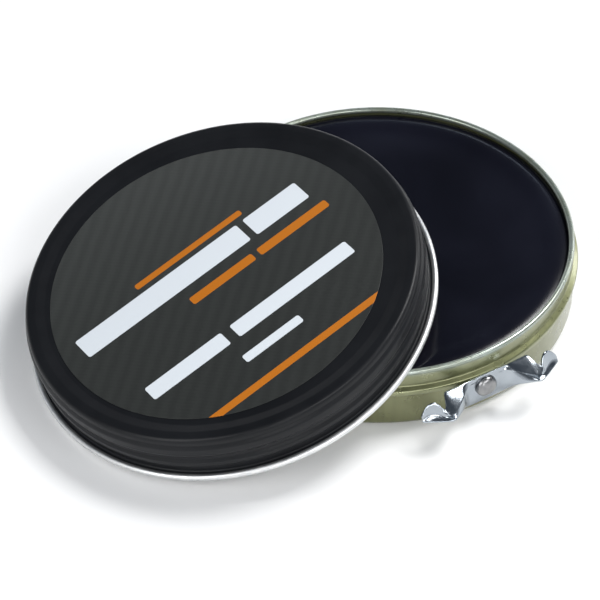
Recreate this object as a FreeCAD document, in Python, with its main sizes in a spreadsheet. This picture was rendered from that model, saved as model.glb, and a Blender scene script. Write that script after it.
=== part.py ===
import FreeCAD, Part
import math
import os
import re
import Sketcher

# Shoe polish tin with a turn-key opener, in millimetres.
# The base tin stands on Z = 0 with its axis on Z, and the key is riveted to the side that faces -Y.
# The lid is off: its low edge stands beside the base at -X, and its curl leans on the base's rim.

DRIVING_DIMENSIONS = {
    # tinplate and base tin
    "sheet": 0.28,
    "base_height": 13.2,
    "rim_radius": 36.0,
    "rim_wire": 1.1,
    "neck_radius": 35.8,
    "bead_radius": 36.8,
    "bead_height": 8.6,
    "bead_round": 0.8,
    "bead_flank": 0.7,
    "wall_radius": 36.2,
    "corner_radius": 1.5,
    "groove_radius": 29.5,
    "groove_width": 2.4,
    "groove_rise": 0.45,
    # cake of polish
    "polish_top": 12.2,
    "polish_edge": 0.6,
    # lid, measured from the underside of its curl
    "lid_height": 10.0,
    "skirt_radius": 36.4,
    "shoulder_radius": 0.9,
    "curl_radius": 38.0,
    "curl_wire": 1.2,
    "panel_radius": 33.2,
    "panel_step": 0.9,
    "panel_recess": 0.45,
    "band_height": 7.0,
    "band_width": 2.8,
    "band_bulge": 0.45,
    "rib_height": 3.6,
    "rib_width": 1.8,
    "rib_bulge": 0.4,
    "ledge_height": 1.05,
    "ledge_round": 0.3,
    "lip_round": 0.98,
    # where the lid lies: the tilt, in degrees, brings its curl down onto the rim
    "lid_offset": 30.8,
    "lid_tilt": 13.95,
    "floor_gap": 0.05,
    # label
    "label_radius": 30.7,
    "label_paper": 0.12,
    "label_shift": 1.1,
    # rivet, with its washer and clinched tail inside the wall
    "rivet_height": 6.6,
    "shank_radius": 0.9,
    "collar_radius": 1.25,
    "head_radius": 2.1,
    "head_edge": 0.15,
    "head_height": 1.15,
    "tail_radius": 1.5,
    "tail_height": 0.5,
    "washer_radius": 2.2,
    "washer_sheet": 0.3,
    "washer_seat": 0.08,
    # turn key, whose resting turn is in degrees
    "key_back": 36.86,
    "key_sheet": 0.55,
    "key_play": 0.05,
    "key_top": 2.7,
    "key_bottom": 4.0,
    "key_flat": 4.2,
    "key_turn": 2.0,
    "scoop_radius": 1.45,
    "scoop_reach": 10.2,
    "scoop_rise": 3.8,
}

# One wing of the key in sections. Each has its distance from the rivet, then the points of the sheet's
# back from the top edge to the bottom edge, as (height above the rivet, distance out from the plate).
WING_SECTIONS = [
    (4.2, [(2.7, 0.0), (1.3, 0.0), (-1.0, 0.0), (-4.0, 0.0)]),
    (5.4, [(2.75, 0.0), (1.9, 0.75), (0.9, 0.75), (-2.8, 1.0)]),
    (7.0, [(2.8, 0.0), (1.8, 1.9), (0.9, 2.0), (-1.7, 2.5)]),
    (8.6, [(2.85, 0.15), (1.4, 3.0), (0.6, 3.2), (-0.9, 3.9)]),
    (10.0, [(3.3, 1.0), (1.6, 3.3), (0.6, 3.6), (-0.6, 4.15)]),
    (11.4, [(3.5, 1.7), (2.0, 2.9), (0.7, 3.2), (-0.5, 3.6)]),
    (12.8, [(2.8, 1.7), (1.7, 2.4), (0.6, 2.6), (-0.45, 2.75)]),
    (13.9, [(1.2, 1.6), (0.8, 1.8), (0.1, 1.9), (-0.35, 1.95)]),
]

LEFT, RIGHT = 1, -1

doc = FreeCAD.newDocument("PolishTin")
sizes = doc.addObject("Spreadsheet::Sheet", "Sizes")
for row, (alias, value) in enumerate(DRIVING_DIMENSIONS.items(), start=1):
    sizes.set(f"A{row}", alias)
    sizes.set(f"B{row}", str(value))
    sizes.setAlias(f"B{row}", alias)
doc.recompute()


def size(expression):
    """Value of an expression in the sheet's aliases."""
    result = sizes.evalExpression(expression)
    return float(getattr(result, "Value", result))


def bound(expression):
    """The same expression as another object of the document reads it."""
    def name_cell(word):
        return f"Sizes.{word.group()}" if word.group() in DRIVING_DIMENSIONS else word.group()
    return re.sub(r"[a-z_]+", name_cell, expression)


def new_body(label):
    body = doc.addObject("PartDesign::Body", label)
    body.Label = label
    return body


def new_sketch(body, distance="0"):
    """Sketch on the body's XZ plane, moved out to -Y by a distance."""
    sketch = body.newObject("Sketcher::SketchObject", f"{body.Label}_sketch")
    plane = next(feature for feature in body.Origin.OriginFeatures if feature.Role == "XZ_Plane")
    sketch.AttachmentSupport = [(plane, "")]
    sketch.MapMode = "FlatFace"
    sketch.setExpression("AttachmentOffset.Base.z", bound(distance))
    return sketch


def arc_geometry(start, end, radius, turn):
    """Arc of at most half a circle that bends LEFT or RIGHT on its way from start to end."""
    chord = end.sub(start)
    rise = math.sqrt(max(radius ** 2 - (chord.Length / 2) ** 2, 0.0))
    left = FreeCAD.Vector(-chord.y, chord.x, 0).normalize()
    centre = start.add(end).multiply(0.5).add(left.multiply(rise * turn))
    angles = [math.atan2(point.y - centre.y, point.x - centre.x) for point in (start, end)]
    if turn == RIGHT:
        angles.reverse()
    return Part.ArcOfCircle(Part.Circle(centre, FreeCAD.Vector(0, 0, 1), radius), *angles)


def draw_outline(sketch, outline):
    """Closed outline of points (x, y), or (x, y, radius, turn) where an arc leads to the next point."""
    corners = [FreeCAD.Vector(size(point[0]), size(point[1]), 0) for point in outline]
    starts = []
    ends = []
    for index, point in enumerate(outline):
        start = corners[index]
        end = corners[(index + 1) % len(outline)]
        first, last = 1, 2
        if len(point) == 2:
            edge = sketch.addGeometry(Part.LineSegment(start, end))
        else:
            radius, turn = point[2:]
            edge = sketch.addGeometry(arc_geometry(start, end, size(radius), turn))
            rule = sketch.addConstraint(Sketcher.Constraint("Radius", edge, size(radius)))
            sketch.setExpression(f"Constraints[{rule}]", bound(radius))
            if turn == RIGHT:
                first, last = 2, 1
        starts.append((edge, first))
        ends.append((edge, last))
    for index, point in enumerate(outline):
        corner = starts[index]
        sketch.addConstraint(Sketcher.Constraint("Coincident", *ends[index - 1], *corner))
        for kind, axis, distance in (("DistanceX", -2, point[0]), ("DistanceY", -1, point[1])):
            if distance == "0":
                sketch.addConstraint(Sketcher.Constraint("PointOnObject", *corner, axis))
            else:
                constraint = Sketcher.Constraint(kind, -1, 1, *corner, size(distance))
                rule = sketch.addConstraint(constraint)
                sketch.setExpression(f"Constraints[{rule}]", bound(distance))


def other_way(path):
    """An open path of outline points walked from its end to its start."""
    points = []
    for index in reversed(range(len(path))):
        arc = path[index - 1][2:] if index else ()
        back_arc = (arc[0], -arc[1]) if arc else ()
        points.append((*path[index][:2], *back_arc))
    return points


def revolve(body, outline):
    """Solid of revolution about the body's Z axis, from an outline of (radius, height)."""
    sketch = new_sketch(body)
    draw_outline(sketch, outline)
    doc.recompute()
    solid = body.newObject("PartDesign::Revolution", f"{body.Label}_revolution")
    solid.Profile = sketch
    solid.ReferenceAxis = (sketch, ["V_Axis"])
    solid.Angle = 360
    doc.recompute()


def drill_side(body, start, depth, radius):
    """Hole on the rivet's axis, from a distance off the base's axis outwards."""
    solid_volume = body.Shape.Volume
    sketch = new_sketch(body, start)
    centre = FreeCAD.Vector(0, size("rivet_height"), 0)
    circle = sketch.addGeometry(Part.Circle(centre, FreeCAD.Vector(0, 0, 1), size(radius)))
    sketch.addConstraint(Sketcher.Constraint("PointOnObject", circle, 3, -2))
    rule = sketch.addConstraint(Sketcher.Constraint("DistanceY", -1, 1, circle, 3, size("rivet_height")))
    sketch.setExpression(f"Constraints[{rule}]", bound("rivet_height"))
    rule = sketch.addConstraint(Sketcher.Constraint("Radius", circle, size(radius)))
    sketch.setExpression(f"Constraints[{rule}]", bound(radius))
    doc.recompute()
    hole = body.newObject("PartDesign::Pocket", f"{body.Label}_hole")
    hole.Profile = sketch
    hole.Reversed = True
    hole.setExpression("Length", bound(depth))
    doc.recompute()
    if body.Shape.Volume > solid_volume - 0.1:
        raise RuntimeError(f"the hole in {body.Label} cuts nothing")


def base_inside():
    """Inside of the base tin, from the middle of its bottom out and up to the neck."""
    crest = "bead_radius - bead_round"
    return [
        ("0", "sheet"),
        ("groove_radius - groove_width / 2", "sheet"),
        ("groove_radius - groove_width / 4", "groove_rise + sheet"),
        ("groove_radius + groove_width / 4", "groove_rise + sheet"),
        ("groove_radius + groove_width / 2", "sheet"),
        ("wall_radius - corner_radius", "sheet", "corner_radius - sheet", LEFT),
        ("wall_radius - sheet", "corner_radius"),
        ("wall_radius - sheet", "bead_height - sqrt((bead_flank - sheet) ^ 2"
         " - (wall_radius - bead_radius + bead_flank - sheet) ^ 2)", "bead_flank - sheet", LEFT),
        ("bead_radius - sheet", "bead_height", "bead_round - sheet", LEFT),
        (crest, "bead_height + bead_round - sheet", f"{crest} - neck_radius + sheet", RIGHT),
        ("neck_radius - sheet", f"bead_height + bead_round + {crest} - neck_radius"),
    ]


def base_outside():
    """Outside of the base tin, from the middle of its underside out and up to the neck."""
    crest = "bead_radius - bead_round"
    return [
        ("0", "0"),
        ("groove_radius - groove_width / 2", "0"),
        ("groove_radius - groove_width / 4", "groove_rise"),
        ("groove_radius + groove_width / 4", "groove_rise"),
        ("groove_radius + groove_width / 2", "0"),
        ("wall_radius - corner_radius", "0", "corner_radius", LEFT),
        ("wall_radius", "corner_radius"),
        ("wall_radius", "bead_height - sqrt(bead_flank ^ 2 - (wall_radius - bead_radius + bead_flank) ^ 2)",
         "bead_flank", LEFT),
        ("bead_radius", "bead_height", "bead_round", LEFT),
        (crest, "bead_height + bead_round", f"{crest} - neck_radius", RIGHT),
        ("neck_radius", f"bead_height + bead_round + {crest} - neck_radius"),
    ]


def base_rim():
    """Rolled rim, from the neck's outside over the top to the neck's inside."""
    def joint_height(neck):
        return ("base_height - rim_wire / 2"
                f" - sqrt((rim_wire / 2) ^ 2 - ({neck} - rim_radius + rim_wire / 2) ^ 2)")
    return [
        ("neck_radius", joint_height("neck_radius"), "rim_wire / 2", LEFT),
        ("rim_radius", "base_height - rim_wire / 2", "rim_wire / 2", LEFT),
        ("rim_radius - rim_wire / 2", "base_height", "rim_wire / 2", LEFT),
        ("rim_radius - rim_wire", "base_height - rim_wire / 2", "rim_wire / 2", LEFT),
        ("neck_radius - sheet", joint_height("neck_radius - sheet")),
    ]


def make_base_shell():
    body = new_body("base_shell")
    revolve(body, [*base_outside(), *base_rim(), *other_way(base_inside())])
    drill_side(body, "wall_radius - 3", "6", "shank_radius + key_play")
    return body


def make_polish():
    """Wax cast into the base, rounded off at the neck and cast round the rivet's tail."""
    body = new_body("polish")
    revolve(body, [
        *base_inside(),
        ("neck_radius - sheet", "polish_top - polish_edge", "polish_edge", LEFT),
        ("neck_radius - sheet - polish_edge", "polish_top"),
        ("0", "polish_top"),
    ])
    drill_side(body, "wall_radius - sheet - washer_seat - washer_sheet - tail_height", "2", "washer_radius")
    return body


def stand_on_rivet_axis(body):
    """Lays the body's Z axis along -Y at the rivet's height."""
    body.Placement = FreeCAD.Placement(FreeCAD.Vector(), FreeCAD.Rotation(FreeCAD.Vector(1, 0, 0), 90))
    body.setExpression("Placement.Base.z", bound("rivet_height"))


def make_opener_rivet():
    """Domed head, collar that holds the key off the wall, shank and clinched tail."""
    body = new_body("opener_rivet")
    washer_back = "wall_radius - sheet - washer_seat - washer_sheet"
    head = "key_back + key_sheet + key_play"
    dome = "(head_height - head_edge)"
    revolve(body, [
        ("0", f"{washer_back} - tail_height"),
        ("tail_radius - tail_height / 2", f"{washer_back} - tail_height", "tail_height / 2", LEFT),
        ("tail_radius", f"{washer_back} - tail_height / 2"),
        ("tail_radius", washer_back),
        ("shank_radius", washer_back),
        ("shank_radius", "wall_radius"),
        ("collar_radius", "wall_radius"),
        ("collar_radius", "key_back - key_play"),
        ("shank_radius", "key_back - key_play"),
        ("shank_radius", head),
        ("head_radius", head),
        ("head_radius", f"{head} + head_edge", f"(head_radius ^ 2 + {dome} ^ 2) / (2 * {dome})", LEFT),
        ("0", f"{head} + head_height"),
    ])
    stand_on_rivet_axis(body)
    return body


def make_rivet_washer():
    """Flat washer between the wall and the rivet's tail."""
    body = new_body("rivet_washer")
    front = "wall_radius - sheet - washer_seat"
    revolve(body, [
        ("shank_radius + key_play", f"{front} - washer_sheet"),
        ("washer_radius", f"{front} - washer_sheet"),
        ("washer_radius", front),
        ("shank_radius + key_play", front),
    ])
    stand_on_rivet_axis(body)
    return body


def wing_section(distance, back):
    """Closed outline of the bent sheet at one distance from the rivet."""
    thickness = size("key_sheet")
    front = []
    for index, (height, out) in enumerate(back):
        before = back[max(index - 1, 0)]
        after = back[min(index + 1, len(back) - 1)]
        along = FreeCAD.Vector(after[0] - before[0], after[1] - before[1], 0).normalize()
        front.append((height + along.y * thickness, out - along.x * thickness))
    faces = [[FreeCAD.Vector(distance, -out, height) for height, out in face] for face in (back, front)]
    edges = []
    for points in faces:
        curve = Part.BSplineCurve()
        curve.interpolate(points)
        edges.append(curve.toShape())
    edges.insert(1, Part.makeLine(faces[0][-1], faces[1][-1]))
    edges.append(Part.makeLine(faces[1][0], faces[0][0]))
    return Part.Wire(edges)


def make_opener_key():
    """Stamped key: a flat plate on the rivet, and two wings whose lower edges swing outwards."""
    across = FreeCAD.Vector(0, -1, 0)
    plate = Part.makeBox(2 * size("key_flat"), size("key_sheet"), size("key_top + key_bottom"),
                         FreeCAD.Vector(-size("key_flat"), -size("key_sheet"), -size("key_bottom")))
    wing = Part.makeLoft([wing_section(*section) for section in WING_SECTIONS], True, False)
    scoop = Part.makeCylinder(size("scoop_radius"), 12,
                              FreeCAD.Vector(size("scoop_reach"), 2, size("scoop_rise")), across)
    wing = wing.cut(scoop)
    other_wing = wing.mirror(FreeCAD.Vector(), FreeCAD.Vector(1, 0, 0))
    hole = Part.makeCylinder(size("shank_radius + key_play"), 4, FreeCAD.Vector(0, 2, 0), across)
    key = doc.addObject("Part::Feature", "opener_key")
    key.Label = "opener_key"
    key.Shape = plate.fuse([wing, other_wing]).removeSplitter().cut(hole)
    key.Placement = FreeCAD.Placement(FreeCAD.Vector(0, -size("key_back"), size("rivet_height")),
                                      FreeCAD.Rotation(FreeCAD.Vector(0, 1, 0), -size("key_turn")))
    return key


def skirt(radius):
    """The skirt's rib and band, from low to high."""
    points = []
    for height, width, depth in (("rib_height", "rib_width", "rib_bulge"),
                                 ("band_height", "band_width", "band_bulge")):
        arc_radius = f"({width} ^ 2 / 4 + {depth} ^ 2) / (2 * {depth})"
        points.append((radius, f"{height} - {width} / 2", arc_radius, LEFT))
        points.append((radius, f"{height} + {width} / 2"))
    return points


def place_lid(lid):
    """Tilts the lid about Y, with its low edge on the floor and its curl on the base's rim."""
    lean = "sin(lid_tilt * 1 deg)"
    rise = "cos(lid_tilt * 1 deg)"
    lid.Placement = FreeCAD.Placement(FreeCAD.Vector(),
                                      FreeCAD.Rotation(FreeCAD.Vector(0, 1, 0), -size("lid_tilt")))
    lid.setExpression("Placement.Base.x", bound(f"curl_wire / 2 * {lean} - lid_offset"))
    lid.setExpression("Placement.Base.z", bound(f"(curl_radius - curl_wire / 2) * {lean}"
                                                f" + curl_wire / 2 * (1 - {rise}) + floor_gap"))


def make_lid_shell():
    """Drawn lid: recessed panel, crown, shoulder, banded skirt, ledge and outward curl."""
    body = new_body("lid_shell")
    panel = "lid_height - panel_recess"
    inside = "skirt_radius - sheet"
    curl_centre = "curl_radius - curl_wire / 2"
    revolve(body, [
        ("0", f"{panel} - sheet"),
        ("panel_radius", f"{panel} - sheet"),
        ("panel_radius + panel_step", "lid_height - sheet"),
        ("skirt_radius - shoulder_radius", "lid_height - sheet", "shoulder_radius - sheet", RIGHT),
        (inside, "lid_height - shoulder_radius"),
        *other_way(skirt(inside)),
        (inside, "lip_round", "lip_round", LEFT),
        (f"{inside} + lip_round", "0"),
        (curl_centre, "0", "curl_wire / 2", LEFT),
        ("curl_radius", "curl_wire / 2", "curl_wire / 2", LEFT),
        (curl_centre, "curl_wire", "curl_wire / 2", LEFT),
        (f"{curl_centre} - sqrt((curl_wire / 2) ^ 2 - (ledge_height - curl_wire / 2) ^ 2)", "ledge_height"),
        ("skirt_radius + ledge_round", "ledge_height", "ledge_round", RIGHT),
        ("skirt_radius", "ledge_height + ledge_round"),
        *skirt("skirt_radius"),
        ("skirt_radius", "lid_height - shoulder_radius", "shoulder_radius", LEFT),
        ("skirt_radius - shoulder_radius", "lid_height"),
        ("panel_radius + panel_step", "lid_height"),
        ("panel_radius", panel),
        ("0", panel),
    ])
    place_lid(body)
    doc.recompute()
    return body


def make_lid_label(lid):
    """Round paper label, stuck a little off centre on the lid's panel."""
    label = doc.addObject("Part::Cylinder", "lid_label")
    label.Label = "lid_label"
    label.setExpression("Radius", bound("label_radius"))
    label.setExpression("Height", bound("label_paper"))
    on_panel = FreeCAD.Vector(-size("label_shift"), 0, size("lid_height - panel_recess"))
    label.Placement = lid.Placement.multiply(FreeCAD.Placement(on_panel, FreeCAD.Rotation()))
    return label


lid_shell = make_lid_shell()
pieces = [
    make_base_shell(),
    make_polish(),
    make_opener_rivet(),
    make_rivet_washer(),
    make_opener_key(),
    lid_shell,
    make_lid_label(lid_shell),
]
doc.recompute()

for item in doc.Objects:
    if "Invalid" in item.State or "Error" in item.State:
        raise RuntimeError(f"{item.Name} failed: {item.State}")
for piece in pieces:
    if piece.Shape.isNull() or not piece.Shape.isValid() or len(piece.Shape.Solids) != 1:
        raise RuntimeError(f"{piece.Label} is not one valid solid")

os.makedirs("parts", exist_ok=True)
for piece in pieces:
    piece.Shape.exportStep(f"parts/{piece.Label}.step")
    box = piece.Shape.BoundBox
    print(f"{piece.Label}: {piece.Shape.Volume:.1f} mm3, X {box.XMin:.2f} {box.XMax:.2f}, "
          f"Y {box.YMin:.2f} {box.YMax:.2f}, Z {box.ZMin:.2f} {box.ZMax:.2f}")
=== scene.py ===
import math

import bmesh
import bpy
from mathutils import Matrix, Vector, noise


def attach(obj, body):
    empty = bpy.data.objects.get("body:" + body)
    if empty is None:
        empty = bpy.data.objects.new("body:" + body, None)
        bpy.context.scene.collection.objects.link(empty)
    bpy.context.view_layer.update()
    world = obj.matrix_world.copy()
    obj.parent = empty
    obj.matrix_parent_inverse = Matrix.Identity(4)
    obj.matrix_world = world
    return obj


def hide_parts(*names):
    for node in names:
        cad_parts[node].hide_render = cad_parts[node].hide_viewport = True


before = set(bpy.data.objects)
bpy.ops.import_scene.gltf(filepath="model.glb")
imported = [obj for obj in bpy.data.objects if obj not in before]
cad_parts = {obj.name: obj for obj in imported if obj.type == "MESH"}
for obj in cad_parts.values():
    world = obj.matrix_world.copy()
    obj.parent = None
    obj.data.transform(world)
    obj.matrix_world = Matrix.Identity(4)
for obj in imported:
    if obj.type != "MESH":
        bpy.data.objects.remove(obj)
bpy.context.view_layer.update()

# Outlines, places and sizes are written in millimetres and meshes in metres, except on the stage.
MM = 0.001
TURN_STEPS = 240
SHARP_ANGLE = math.radians(40)
SHARP_ANGLE_OF_KEY = math.radians(50)
Z_TO_MINUS_Y = Matrix.Rotation(math.radians(90), 4, "X")

# The lid's own frame: the underside of its curl lies in its XY plane, and its axis is Z.
LID_TILT = math.radians(13.95)
LID_PLACE = (Matrix.Translation(Vector((-30.655, 0, 9.084)) * MM)
             @ Matrix.Rotation(-LID_TILT, 4, "Y"))
PANEL_TOP = 9.55

# The rivet's frame: X along the tin's side, Y in towards the tin's axis, Z up.
RIVET_HEIGHT = 6.6
KEY_BACK = 36.86
KEY_SHEET = 0.55
KEY_TURN = math.radians(2.0)


# ---------------------------------------------------------------- section outlines

def arc(centre, radius, start, end, steps):
    """Points of an arc in a section, its angles in degrees."""
    points = []
    for step in range(steps + 1):
        angle = math.radians(start + (end - start) * step / steps)
        points.append((centre[0] + radius * math.cos(angle), centre[1] + radius * math.sin(angle)))
    return points


def rounded(corners, steps):
    """Line through corners (radius, height, fillet), with each corner that has a fillet rounded."""
    points = []
    for index, (x, z, fillet) in enumerate(corners):
        corner = Vector((x, z))
        if not fillet:
            points.append((x, z))
            continue
        before = (Vector(corners[index - 1][:2]) - corner).normalized()
        after = (Vector(corners[index + 1][:2]) - corner).normalized()
        half = before.angle(after) / 2
        centre = corner + (before + after).normalized() * fillet / math.sin(half)
        first = corner + before * fillet / math.tan(half) - centre
        last = corner + after * fillet / math.tan(half) - centre
        sweep = first.angle_signed(last)
        for step in range(steps + 1):
            spoke = first.copy()
            spoke.rotate(Matrix.Rotation(-sweep * step / steps, 2))
            points.append(tuple(centre + spoke))
    return points


# ---------------------------------------------------------------- meshes

def add_object(name, mesh):
    """Object in the scene from a bmesh, which is used up."""
    data = bpy.data.meshes.new(name)
    mesh.to_mesh(data)
    mesh.free()
    added = bpy.data.objects.new(name, data)
    bpy.context.scene.collection.objects.link(added)
    return added


def finish_piece(name, mesh, body, replaced, place=None):
    """Object from a bmesh, shaded smooth with sharp edges kept, riding on its body."""
    bmesh.ops.recalc_face_normals(mesh, faces=mesh.faces)
    piece = add_object(name, mesh)
    piece.data.shade_smooth()
    piece.data.set_sharp_from_angle(angle=SHARP_ANGLE)
    if place:
        piece.matrix_world = place
    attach(piece, body)
    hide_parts(replaced)
    return piece


def lathe(outline, steps=TURN_STEPS):
    """Closed surface of revolution about Z, from a section in millimetres.

    A section that starts and ends on the axis closes there, and any other closes on itself.
    """
    mesh = bmesh.new()
    rings = []
    for radius, height in outline:
        if radius < 1e-6:
            rings.append([mesh.verts.new((0, 0, height * MM))])
            continue
        turns = [2 * math.pi * step / steps for step in range(steps)]
        rings.append([mesh.verts.new((radius * MM * math.cos(turn), radius * MM * math.sin(turn),
                                      height * MM)) for turn in turns])
    if len(rings[0]) > 1:
        rings.append(rings[0])
    for inner, outer in zip(rings, rings[1:]):
        for step in range(steps):
            after = (step + 1) % steps
            corners = []
            for ring, place in ((inner, step), (inner, after), (outer, after), (outer, step)):
                vertex = ring[place % len(ring)]
                if vertex not in corners:
                    corners.append(vertex)
            mesh.faces.new(corners)
    return mesh


# ---------------------------------------------------------------- materials

# Sockets of the Mix node when it mixes colours.
MIX_FACTOR, MIX_FIRST, MIX_SECOND, MIX_RESULT = 0, 6, 7, 2


class Surface:
    """Node material: one Principled shader and short calls for the nodes that feed it."""

    def __init__(self, name, **constants):
        self.material = bpy.data.materials.new(name)
        self.material.use_nodes = True
        self.nodes = self.material.node_tree.nodes
        self.links = self.material.node_tree.links
        self.shader = self.nodes["Principled BSDF"]
        for socket, value in constants.items():
            self.shader.inputs[socket.replace("_", " ")].default_value = value
        self.place = self.add("ShaderNodeTexCoord").outputs["Object"]

    def add(self, kind, inputs=(), **settings):
        """Node with its settings, and with a link or a value on each input that is named."""
        node = self.nodes.new(kind)
        for setting, value in settings.items():
            setattr(node, setting, value)
        for socket, value in dict(inputs).items():
            if isinstance(value, bpy.types.NodeSocket):
                self.links.new(value, node.inputs[socket])
            else:
                node.inputs[socket].default_value = value
        return node

    def feed(self, socket, value):
        self.links.new(value, self.shader.inputs[socket])

    def coordinates(self):
        return self.add("ShaderNodeSeparateXYZ", {0: self.place}).outputs

    def stretched(self, scale):
        return self.add("ShaderNodeMapping", {"Vector": self.place, "Scale": scale}).outputs[0]

    def noise(self, scale, detail=4.0, roughness=0.5, distortion=0.0, vector=None):
        return self.add("ShaderNodeTexNoise", {
            "Vector": vector or self.place, "Scale": scale, "Detail": detail,
            "Roughness": roughness, "Distortion": distortion}).outputs["Fac"]

    def bands(self, direction, scale, distortion, detail_scale):
        """Slanting waves across the material's XY plane."""
        return self.add("ShaderNodeTexWave", {
            "Vector": self.stretched(direction), "Scale": scale, "Distortion": distortion,
            "Detail": 1.0, "Detail Scale": detail_scale}, bands_direction="DIAGONAL").outputs["Fac"]

    def ramp(self, value, stops):
        """Colour ramp from (position, colour or grey) stops."""
        node = self.add("ShaderNodeValToRGB", {"Fac": value})
        elements = node.color_ramp.elements
        while len(elements) < len(stops):
            elements.new(1.0)
        for element, (position, colour) in zip(elements, stops):
            element.position = position
            element.color = (colour,) * 3 + (1,) if isinstance(colour, float) else (*colour, 1)
        return node.outputs["Color"]

    def maths(self, operation, *values, clamp=False):
        inputs = dict(enumerate(values))
        return self.add("ShaderNodeMath", inputs, operation=operation, use_clamp=clamp).outputs[0]

    def length(self, first, second):
        """Root of the sum of the squares."""
        squares = [self.maths("MULTIPLY", value, value) for value in (first, second)]
        return self.maths("SQRT", self.maths("ADD", *squares))

    def rise(self, value, start, span):
        """Zero up to the start, then rising to one over the span."""
        return self.maths("DIVIDE", self.maths("SUBTRACT", value, start), span, clamp=True)

    def mix(self, factor, first, second, blend="MIX"):
        node = self.add("ShaderNodeMix", data_type="RGBA", blend_type=blend)
        for index, value in ((MIX_FACTOR, factor), (MIX_FIRST, first), (MIX_SECOND, second)):
            if isinstance(value, bpy.types.NodeSocket):
                self.links.new(value, node.inputs[index])
            else:
                node.inputs[index].default_value = value if index == MIX_FACTOR else (*value, 1)
        return node.outputs[MIX_RESULT]

    def bump(self, height, strength, distance, normal=None):
        """Normal from a height, its distance in millimetres, laid over another normal if given."""
        node = self.add("ShaderNodeBump", {"Height": height, "Strength": strength,
                                           "Distance": distance * MM})
        if normal:
            self.links.new(normal, node.inputs["Normal"])
        return node.outputs["Normal"]


# Where the lid rubs the lacquer thin and a highlight is painted in as well, in millimetres: up the
# neck, and out over the bead.
NECK_WEAR_HIGHLIGHT_START, NECK_WEAR_HIGHLIGHT_SPAN = 9.2, 3.4
BEAD_WEAR_HIGHLIGHT_START, BEAD_WEAR_HIGHLIGHT_SPAN = 36.5, 0.5


def olive_lacquer():
    """Olive-gold stoving lacquer over drawn tinplate, rubbed pale on the neck, rim and bead, with a
    painted highlight there as well.
    """
    surface = Surface("olive_lacquer", Metallic=0.7, Coat_Weight=0.6, Coat_Roughness=0.14)
    draw_marks = surface.noise(1.0, detail=3, vector=surface.stretched((700, 700, 40)))
    tone = surface.ramp(surface.noise(60, detail=3), [
        (0.3, (0.165, 0.172, 0.08)), (0.55, (0.19, 0.198, 0.094)), (0.75, (0.21, 0.218, 0.108))])
    streaks = surface.ramp(draw_marks, [(0.35, 0.9), (0.6, 1.0)])
    tone = surface.mix(1.0, tone, streaks, "MULTIPLY")

    x, y, z = surface.coordinates()
    # Painted highlight as well as wear: the neck, rim and bead are mixed in patches towards a pale
    # olive-grey.
    neck = surface.rise(z, NECK_WEAR_HIGHLIGHT_START * MM, NECK_WEAR_HIGHLIGHT_SPAN * MM)
    bead = surface.rise(surface.length(x, y), BEAD_WEAR_HIGHLIGHT_START * MM, BEAD_WEAR_HIGHLIGHT_SPAN * MM)
    wear_highlight_patches = surface.ramp(surface.noise(260, detail=5), [(0.3, 0.55), (0.65, 0.95)])
    wear_and_highlight = surface.maths("MULTIPLY", surface.maths("MAXIMUM", neck, bead), wear_highlight_patches)
    wear_highlight_colour = surface.ramp(neck, [(0.7, (0.29, 0.31, 0.17)), (1.0, (0.34, 0.385, 0.35))])
    surface.feed("Base Color", surface.mix(wear_and_highlight, tone, wear_highlight_colour))

    scuffs = surface.noise(420, detail=6, roughness=0.7)
    surface.feed("Roughness", surface.ramp(scuffs, [(0.35, 0.26), (0.65, 0.34)]))
    peel = surface.bump(surface.noise(500, detail=2), 0.03, 0.03)
    surface.feed("Normal", surface.bump(draw_marks, 0.02, 0.03, peel))
    return surface.material


def black_lacquer():
    """Black stoving lacquer with a fine orange peel and faint handling marks."""
    surface = Surface("black_lacquer", Specular_IOR_Level=0.18)
    haze = surface.noise(60, detail=5)
    surface.feed("Base Color", surface.ramp(haze, [
        (0.35, (0.006, 0.0065, 0.0078)), (0.7, (0.0095, 0.0102, 0.012))]))
    handling = surface.noise(240, detail=6, roughness=0.65)
    surface.feed("Roughness", surface.ramp(handling, [(0.3, 0.32), (0.7, 0.4)]))
    surface.feed("Normal", surface.bump(surface.noise(700, detail=2), 0.03, 0.03))
    return surface.material


def bare_tinplate():
    """Bright tinplate with rolling marks."""
    surface = Surface("bare_tinplate", Metallic=1.0)
    rolled = surface.noise(1.0, detail=4, vector=surface.stretched((250, 2200, 400)))
    surface.feed("Base Color", surface.ramp(rolled, [
        (0.3, (0.68, 0.69, 0.7)), (0.7, (0.78, 0.78, 0.77))]))
    surface.feed("Roughness", surface.ramp(surface.noise(350, detail=5), [(0.3, 0.38), (0.7, 0.5)]))
    surface.feed("Normal", surface.bump(rolled, 0.02, 0.02))
    return surface.material


def wax_polish():
    """Black wax with a smooth cast skin that blooms faintly."""
    surface = Surface("wax_polish", Specular_IOR_Level=0.3)
    bloom = surface.noise(35, detail=5, distortion=0.6)
    surface.feed("Base Color", surface.ramp(bloom, [
        (0.35, (0.0028, 0.0028, 0.0058)), (0.75, (0.0052, 0.0054, 0.0115))]))
    surface.feed("Roughness", surface.ramp(bloom, [(0.3, 0.15), (0.7, 0.24)]))
    swell = surface.noise(70, detail=3)
    surface.feed("Normal", surface.bump(swell, 0.1, 0.4))
    return surface.material


def zinc_plate():
    """Bright zinc over stamped steel, with die marks and a faint blue passivation."""
    surface = Surface("zinc_plate", Metallic=1.0)
    clouds = surface.noise(300, detail=4)
    surface.feed("Base Color", surface.ramp(clouds, [
        (0.3, (0.35, 0.385, 0.42)), (0.7, (0.42, 0.455, 0.49))]))
    grains = surface.noise(1500, detail=5, roughness=0.6)
    surface.feed("Roughness", surface.ramp(grains, [(0.35, 0.15), (0.7, 0.2)]))
    dents = surface.bump(surface.noise(300, detail=2), 0.05, 0.08)
    surface.feed("Normal", surface.bump(grains, 0.03, 0.02, dents))
    return surface.material


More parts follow.
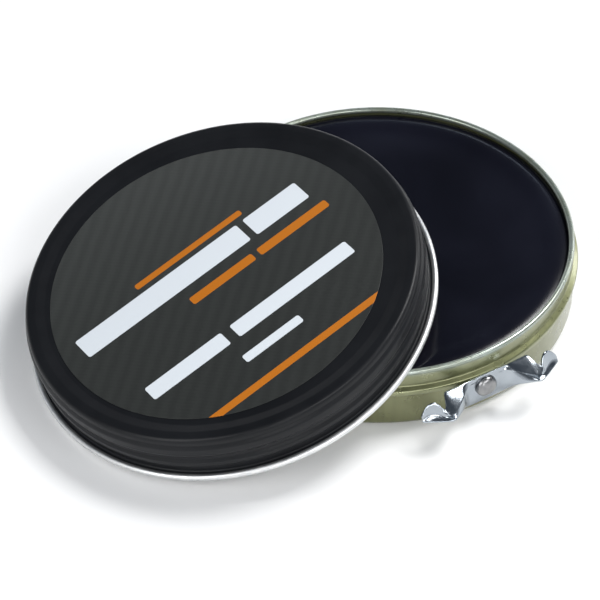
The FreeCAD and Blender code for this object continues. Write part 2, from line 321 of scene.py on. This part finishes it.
def rivet_metal():
    """Soft aluminium, upset by the rivet tool."""
    surface = Surface("rivet_metal", Metallic=1.0)
    clouds = surface.noise(700, detail=5)
    surface.feed("Base Color", surface.ramp(clouds, [
        (0.3, (0.24, 0.24, 0.245)), (0.7, (0.34, 0.34, 0.34))]))
    surface.feed("Roughness", surface.ramp(clouds, [(0.3, 0.26), (0.7, 0.42)]))
    surface.feed("Normal", surface.bump(surface.noise(1100, detail=4), 0.3, 0.08))
    return surface.material


# Rows of plain bars on the label, turned from the lid's X axis: middle, width, paint, and where
# each bar starts and ends along the row. Millimetres.
WHITE = (0.62, 0.66, 0.7)
ORANGE = (0.44, 0.135, 0.01)
BAR_TURN = math.radians(6.5)
BAR_CORNER = 0.45
BAR_SOFTNESS = 0.04
BAR_ROWS = [
    ((-0.5, 9.2), 1.3, ORANGE, [(-12.0, 12.0)]),
    ((-2.0, 4.7), 4.9, WHITE, [(-25.0, 11.5), (13.0, 25.0)]),
    ((9.5, 0.0), 1.9, ORANGE, [(-15.5, -1.4), (-0.2, 15.5)]),
    ((0.5, -12.4), 3.4, WHITE, [(-22.5, -5.6), (-3.6, 22.5)]),
    ((1.5, -18.7), 1.9, WHITE, [(-6.3, 6.3)]),
    ((3.2, -24.8), 1.5, ORANGE, [(-22.5, 22.5)]),
]
LABEL_SPAN = 62.5


def print_bars(surface, colour):
    """The colour with the rows of round-cornered bars over it."""
    def past(value, centre, half):
        offset = surface.maths("ABSOLUTE", surface.maths("SUBTRACT", value, centre))
        return surface.maths("MAXIMUM", surface.maths("SUBTRACT", offset, half), 0.0)

    x, y, _ = surface.coordinates()
    cosine, sine = math.cos(BAR_TURN) / MM, math.sin(BAR_TURN) / MM
    along = surface.maths("ADD", surface.maths("MULTIPLY", x, cosine),
                          surface.maths("MULTIPLY", y, sine))
    across = surface.maths("SUBTRACT", surface.maths("MULTIPLY", y, cosine),
                           surface.maths("MULTIPLY", x, sine))
    for middle, width, paint, spans in BAR_ROWS:
        row = Matrix.Rotation(-BAR_TURN, 2) @ Vector(middle)
        past_side = past(across, row.y, width / 2 - BAR_CORNER)
        for start, end in spans:
            past_end = past(along, row.x + (start + end) / 2, (end - start) / 2 - BAR_CORNER)
            inside = surface.maths("SUBTRACT", BAR_CORNER + BAR_SOFTNESS,
                                   surface.length(past_end, past_side))
            bar = surface.maths("DIVIDE", inside, 2 * BAR_SOFTNESS, clamp=True)
            colour = surface.mix(bar, colour, paint)
    return colour


def printed_label():
    """Dark printed paper: a woven ground that is paler at the back, and plain bars."""
    surface = Surface("printed_label", Specular_IOR_Level=0.3)
    twill = surface.bands((1, -1, 0), 165.0, 0.8, 1.5)
    threads = surface.bands((1, 1, 0), 620.0, 1.0, 2.0)
    weave = surface.maths("ADD", surface.maths("MULTIPLY", twill, 0.65),
                          surface.maths("MULTIPLY", threads, 0.35))
    ground = surface.ramp(weave, [(0.15, (0.0245, 0.0262, 0.025)),
                                  (0.85, (0.0292, 0.0314, 0.0298))])
    _, y, _ = surface.coordinates()
    towards_back = surface.maths("ADD", surface.maths("DIVIDE", y, LABEL_SPAN * MM), 0.5)
    fade = surface.ramp(towards_back, [(0.1, 0.86), (0.5, 1.0), (1.0, 1.5)])
    ground = surface.mix(1.0, ground, fade, "MULTIPLY")
    surface.feed("Base Color", print_bars(surface, ground))
    grain = surface.noise(1400, detail=3)
    surface.feed("Roughness", surface.ramp(grain, [(0.3, 0.34), (0.7, 0.44)]))
    surface.feed("Normal", surface.bump(grain, 0.06, 0.03))
    return surface.material


# ---------------------------------------------------------------- base tin

def make_base():
    """Drawn tin: foot with a shallow groove, wall, stop bead, neck and a rim rolled inwards."""
    outside = rounded([(0, 0, 0), (28.3, 0, 0.4), (28.9, 0.45, 0.4), (30.1, 0.45, 0.4),
                       (30.7, 0, 0.4), (36.2, 0, 1.5), (36.2, 7.75, 0.25), (36.8, 8.15, 0.45),
                       (36.8, 9.05, 0.4), (35.8, 9.62, 0.35), (35.8, 12.2, 0)], steps=7)
    rim = arc((35.45, 12.65), 0.55, -50, 262, 24)
    inside = rounded([(35.52, 12.1, 0), (35.52, 9.4, 0.4), (36.52, 8.9, 0.3), (36.52, 8.3, 0.3),
                      (35.92, 7.9, 0.3), (35.92, 0.28, 1.22), (30.7, 0.28, 0.3), (30.1, 0.73, 0.3),
                      (28.9, 0.73, 0.3), (28.3, 0.28, 0.3), (0, 0.28, 0)], steps=5)
    mesh = lathe([*outside, *rim, *inside])
    return finish_piece("base_tin", mesh, "base", "base_shell")


POLISH_RADIUS = 35.45
POLISH_LEVEL = 11.86
POLISH_STEPS = 30
SKIN_FROM, SKIN_SWELL, SKIN_SCALE = 11.3, 0.035, 90


def make_polish():
    """Cast wax: a little dished, with a soft ring where it curves over to the wall."""
    ring_radius, ring_width, ring_height = 32.4, 1.5, 0.2
    brink_radius, brink_width, brink_depth = 34.2, 1.25, 0.5
    dish_radius, dish_depth = 35, 0.05
    surface = []
    for step in range(POLISH_STEPS + 1):
        radius = POLISH_RADIUS * (1 - step / POLISH_STEPS)
        ring = ring_height * math.exp(-((radius - ring_radius) / ring_width) ** 2)
        fall = brink_depth * max(0.0, (radius - brink_radius) / brink_width) ** 2
        dish = dish_depth * (radius / dish_radius) ** 2
        surface.append((radius, POLISH_LEVEL + ring - fall + dish))
    body = [(0, 0.3), (28.2, 0.3), (29.0, 0.76), (30.0, 0.76), (30.8, 0.3), (34.6, 0.3),
            (35.5, 0.8), (35.88, 1.6), (35.88, 8.0), (36.4, 8.4), (36.4, 8.9), (35.48, 9.4)]
    mesh = lathe([*body, *surface])
    for vertex in mesh.verts:
        if vertex.co.z > SKIN_FROM * MM:
            vertex.co.z += SKIN_SWELL * MM * noise.noise(vertex.co * SKIN_SCALE)
    return finish_piece("wax_cake", mesh, "base", "polish")


def make_rivet():
    """Domed head, collar, shank and clinched tail, lying along -Y."""
    head = KEY_BACK + 0.6
    brim = head + 0.12
    dome_radius, dome_height, dome_steps = 2.08, 1.2, 16
    turns = [math.pi / 2 * step / dome_steps for step in range(dome_steps)]
    dome = [(dome_radius * math.cos(turn), brim + dome_height * math.sin(turn)) for turn in turns]
    tail = arc((1.25, 35.29), 0.25, -90, 0, 5)
    outline = [(0, 35.04), *tail, (1.5, 35.54), (0.9, 35.54), (0.9, 36.2), (1.25, 36.2),
               (1.25, 36.81), (0.9, 36.81), (0.9, head), (2.0, head), *dome,
               (0, brim + dome_height)]
    place = Matrix.Translation(Vector((0, 0, RIVET_HEIGHT)) * MM) @ Z_TO_MINUS_Y
    mesh = lathe(outline, steps=64)
    return finish_piece("rivet", mesh, "base", "opener_rivet", place)


# ---------------------------------------------------------------- turn key

# One wing in sections across it, each with its distance from the rivet. Seven points run from the
# top edge to the bottom edge: edge, shelf, ridge, crease, and three down the flange. First come
# their heights above the rivet, then how far they stand out from the wall. Millimetres.
WING = [
    (1.4, (2.7, 2.3, 1.95, 1.6, 1.2, -1, -4), (0, 0, 0, 0, 0, 0, 0)),
    (2.9, (2.7, 2.3, 1.98, 1.65, 1.25, -1, -4), (0, 0, 0, 0, 0, 0, 0)),
    (4.1, (2.7, 2.4, 2.1, 1.8, 1.35, -0.7, -3.75), (0, 0.15, 0.45, -0.05, 0, 0, 0.15)),
    (5.1, (2.75, 2.5, 2.15, 1.85, 1.3, -0.1, -1.9), (0, 0.65, 1.4, 0.1, 0.4, 0.95, 1.5)),
    (6, (2.8, 2.45, 2, 1.7, 1.15, 0.05, -1.2), (0, 1.05, 2.25, 0.4, 1.1, 1.9, 2.45)),
    (7, (2.9, 2.35, 1.75, 1.4, 0.95, 0.05, -0.75), (0, 1.45, 3.05, 0.95, 1.95, 2.8, 3.3)),
    (8.2, (3, 2.3, 1.35, 0.95, 0.6, 0.2, -0.25), (0, 1.8, 3.8, 1.75, 2.85, 3.65, 4.25)),
    (8.7, (3, 2.2, 1.15, 0.72, 0.42, 0.2, 0), (0.05, 1.95, 4.15, 2.45, 3.4, 4.1, 4.7)),
    (9.1, (2.55, 1.95, 1, 0.42, 0.2, 0.08, -0.02), (1.1, 2.3, 4.1, 3.05, 3.55, 4.1, 4.75)),
    (9.6, (1.75, 1.45, 0.92, 0.34, 0.16, 0.04, -0.08), (2.35, 2.9, 4, 3.35, 3.7, 4.1, 4.6)),
    (10, (1.5, 1.3, 0.95, 0.5, 0.2, 0, -0.15), (2.8, 3, 3.45, 3.45, 3.75, 4.05, 4.35)),
    (10.45, (2.25, 1.75, 1.05, 0.52, 0.2, -0.02, -0.2), (2.3, 2.5, 2.85, 3.05, 3.45, 3.8, 4.1)),
    (11.1, (3.1, 2.25, 1.3, 0.6, 0.22, 0, -0.22), (1.55, 1.88, 2.2, 2.58, 3, 3.42, 3.78)),
    (12.1, (3.1, 2.25, 1.3, 0.62, 0.25, 0, -0.22), (1.15, 1.45, 1.7, 2.05, 2.45, 2.87, 3.22)),
    (13.1, (2.4, 1.75, 1.1, 0.6, 0.25, 0, -0.22), (1.08, 1.3, 1.52, 1.78, 2.1, 2.38, 2.68)),
    (13.8, (1.5, 1.1, 0.75, 0.45, 0.2, -0.02, -0.22), (1.35, 1.42, 1.55, 1.68, 1.85, 2.02, 2.2)),
    (14.1, (0.9, 0.7, 0.5, 0.32, 0.14, -0.04, -0.22), (1.5, 1.55, 1.62, 1.7, 1.8, 1.9, 2.02)),
]
RIDGE, CREASE = 2, 3
FOLD_SHARPNESS = 0.6
FOLD_REACH = 9.7

# Holes through the key's plate: along it, above the rivet, radius. The last two nick the top edge.
KEY_HOLES = [(0.0, 0.0, 0.95), (-2.25, 2.78, 0.2), (2.35, 2.78, 0.16)]


def make_key():
    """Stamped butterfly key: a sheet through both wings, folded, thickened, rounded and pierced."""
    mesh = bmesh.new()
    folds = mesh.edges.layers.float.new("crease_edge")
    stations = [(-distance, heights, outs) for distance, heights, outs in reversed(WING)]
    stations += [(0.0, *WING[0][1:]), *WING]
    columns = []
    for distance, heights, outs in stations:
        columns.append([mesh.verts.new((distance * MM, -(out + KEY_SHEET / 2) * MM, height * MM))
                        for height, out in zip(heights, outs)])
    for left, right in zip(columns, columns[1:]):
        for row in range(len(left) - 1):
            mesh.faces.new((left[row], right[row], right[row + 1], left[row + 1]))
        for row in (RIDGE, CREASE):
            if max(abs(left[row].co.x), abs(right[row].co.x)) < FOLD_REACH * MM:
                mesh.edges.get((left[row], right[row]))[folds] = FOLD_SHARPNESS
    place = (Matrix.Translation(Vector((0, -KEY_BACK, RIVET_HEIGHT)) * MM)
             @ Matrix.Rotation(-KEY_TURN, 4, "Y"))
    key = finish_piece("turn_key", mesh, "opener", "opener_key", place)
    thicken = key.modifiers.new("sheet", "SOLIDIFY")
    thicken.thickness = KEY_SHEET * MM
    thicken.offset = 0
    smooth = key.modifiers.new("smooth", "SUBSURF")
    smooth.levels = smooth.render_levels = 3
    punch = make_punch(place)
    pierce = key.modifiers.new("pierced", "BOOLEAN")
    pierce.operation = "DIFFERENCE"
    pierce.solver = "EXACT"
    pierce.object = punch
    apply_modifiers(key)
    bpy.data.objects.remove(punch)
    key.data.shade_smooth()
    key.data.set_sharp_from_angle(angle=SHARP_ANGLE_OF_KEY)
    return key


def make_punch(place):
    """Cutter for the rivet's hole and the two nicks that the stamping leaves in the top edge."""
    mesh = bmesh.new()
    for x, z, radius in KEY_HOLES:
        turn = Matrix.Translation(Vector((x, 0, z)) * MM) @ Z_TO_MINUS_Y
        bmesh.ops.create_cone(mesh, cap_ends=True, segments=32, radius1=radius * MM,
                              radius2=radius * MM, depth=4 * MM, matrix=turn)
    punch = add_object("punch", mesh)
    punch.matrix_world = place
    return punch


def apply_modifiers(piece):
    """Replaces the piece's mesh by what its modifiers make of it."""
    bpy.context.view_layer.update()
    shaped = piece.evaluated_get(bpy.context.evaluated_depsgraph_get())
    old = piece.data
    piece.data = bpy.data.meshes.new_from_object(shaped)
    piece.modifiers.clear()
    bpy.data.meshes.remove(old)
    piece.data.name = piece.name


# ---------------------------------------------------------------- lid

def make_lid():
    """Drawn lid: bare inside and on its curl, lacquered over its beads, shoulder and panel."""
    inside = rounded([(0, 9.27, 0), (32.6, 9.27, 1.6), (34.4, 9.72, 1.6), (36.12, 9.72, 0.65),
                      (36.12, 8.5, 0.3), (36.57, 7.9, 0.8), (36.57, 6.1, 0.8), (36.12, 5.45, 0.3),
                      (36.12, 4.6, 0.3), (36.52, 4.1, 0.45), (36.52, 3.1, 0.45), (36.12, 2.6, 0.3),
                      (36.12, 0.0, 0.9), (37.4, 0.0, 0)], steps=7)
    curl = arc((37.4, 0.6), 0.6, -90, 131, 18)
    outside = rounded([(36.9, 1.05, 0), (36.4, 1.05, 0.3), (36.4, 2.6, 0.25), (36.8, 3.1, 0.5),
                       (36.8, 4.1, 0.5), (36.4, 4.6, 0.3), (36.4, 5.45, 0.3), (36.85, 6.1, 0.9),
                       (36.85, 7.9, 0.9), (36.4, 8.5, 0.3), (36.4, 10.0, 0.9), (34.4, 10.0, 1.6),
                       (32.6, PANEL_TOP, 1.6), (0, PANEL_TOP, 0)], steps=7)
    mesh = lathe([*inside, *curl, *outside])
    lid = finish_piece("lid", mesh, "lid", "lid_shell", LID_PLACE)
    lid.data.materials.append(black_lacquer())
    lid.data.materials.append(bare_tinplate())
    bare_faces = (len(inside) + len(curl) - 1) * TURN_STEPS
    for polygon in lid.data.polygons[:bare_faces]:
        polygon.material_index = 1


def make_label():
    """Round paper label with a softly rounded edge, a little off the lid's centre."""
    outline = rounded([(0, 0, 0), (30.7, 0, 0.02), (30.7, 0.12, 0.05), (0, 0.12, 0)], steps=3)
    place = LID_PLACE @ Matrix.Translation(Vector((-1.1, 0, PANEL_TOP)) * MM)
    return finish_piece("label", lathe(outline), "lid", "lid_label", place)


# ---------------------------------------------------------------- stage

# Soft lights that all face the tin: name, place, size, power and colour. Metres and watts.
NEUTRAL = (1, 1, 1)
COOL = (0.7, 0.82, 1.0)
SOFTBOXES = [
    ("right_light", (0.62, 0.02, 0.9), (0.42, 0.36), 9, NEUTRAL),
    ("left_light", (-0.85, -0.25, 0.7), (0.6, 0.5), 4.5, NEUTRAL),
    ("front_light", (0.1, -0.85, 0.78), (0.9, 0.35), 5.5, NEUTRAL),
    ("low_right", (0.95, 0.12, 0.3), (0.3, 0.16), 1.2, NEUTRAL),
    ("low_left", (-0.95, -0.3, 0.3), (0.3, 0.16), 1.0, NEUTRAL),
    ("low_front", (-0.35, -0.95, 0.3), (0.35, 0.2), 1.3, NEUTRAL),
    ("low_back", (0.25, 0.95, 0.2), (0.35, 0.1), 0.6, NEUTRAL),
    ("back_strip", (0.5, 0.62, 0.46), (0.3, 0.04), 0.16, COOL),
]
FLOOR_HALF = 3.0
FLOOR_DROP = 0.00002


def add_softbox(name, place, size, power, colour):
    light = bpy.data.lights.new(name, "AREA")
    light.shape = "RECTANGLE"
    light.size, light.size_y = size
    light.energy = power
    light.color = colour
    box = bpy.data.objects.new(name, light)
    bpy.context.scene.collection.objects.link(box)
    box.location = place
    box.rotation_euler = (-Vector(place)).to_track_quat("-Z", "Y").to_euler()


def make_world():
    """Studio with pale walls round the table and a dim ceiling."""
    world = bpy.data.worlds.new("studio")
    world.use_nodes = True
    nodes, links = world.node_tree.nodes, world.node_tree.links
    place = nodes.new("ShaderNodeTexCoord")
    parts = nodes.new("ShaderNodeSeparateXYZ")
    links.new(place.outputs["Generated"], parts.inputs[0])
    walls = nodes.new("ShaderNodeValToRGB")
    links.new(parts.outputs["Z"], walls.inputs[0])
    pale, dim = walls.color_ramp.elements
    pale.position, pale.color = 0.12, (0.82, 0.84, 0.86, 1)
    dim.position, dim.color = 0.42, (0.065, 0.08, 0.1, 1)
    links.new(walls.outputs["Color"], nodes["Background"].inputs["Color"])
    bpy.context.scene.world = world


def make_stage():
    """Pale paper floor a hair below the tin's foot, the studio round it and its lights."""
    mesh = bmesh.new()
    bmesh.ops.create_grid(mesh, x_segments=1, y_segments=1, size=FLOOR_HALF)
    floor = add_object("floor", mesh)
    floor.location.z = -FLOOR_DROP
    paper = Surface("pale_paper", Roughness=0.9)
    paper.feed("Base Color", paper.ramp(paper.noise(8), [(0.3, 0.88), (0.7, 0.9)]))
    floor.data.materials.append(paper.material)

    make_world()
    for softbox in SOFTBOXES:
        add_softbox(*softbox)


def make_camera():
    """A long lens that looks down at 44 degrees from 29 degrees left of the key."""
    camera = bpy.data.cameras.new("camera")
    camera.lens = 180
    camera.sensor_width = 36
    viewer = bpy.data.objects.new("camera", camera)
    bpy.context.scene.collection.objects.link(viewer)
    place = Vector((-207.01, -346.06, 390.47)) * MM
    aim = Vector((-13.72, 5.55, -1.79)) * MM
    turn = (aim - place).to_track_quat("-Z", "Y").to_matrix().to_4x4()
    roll = Matrix.Rotation(math.radians(-1.02), 4, "Z")
    viewer.matrix_world = Matrix.Translation(place) @ turn @ roll
    bpy.context.scene.camera = viewer


# ---------------------------------------------------------------- assembly

rivet_skin = rivet_metal()
make_base().data.materials.append(olive_lacquer())
make_polish().data.materials.append(wax_polish())
make_rivet().data.materials.append(rivet_skin)
make_key().data.materials.append(zinc_plate())
make_lid()
make_label().data.materials.append(printed_label())

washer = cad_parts["rivet_washer"]
washer.data.materials.clear()
washer.data.materials.append(rivet_skin)

make_stage()
make_camera()
bpy.context.scene.view_settings.view_transform = "Standard"
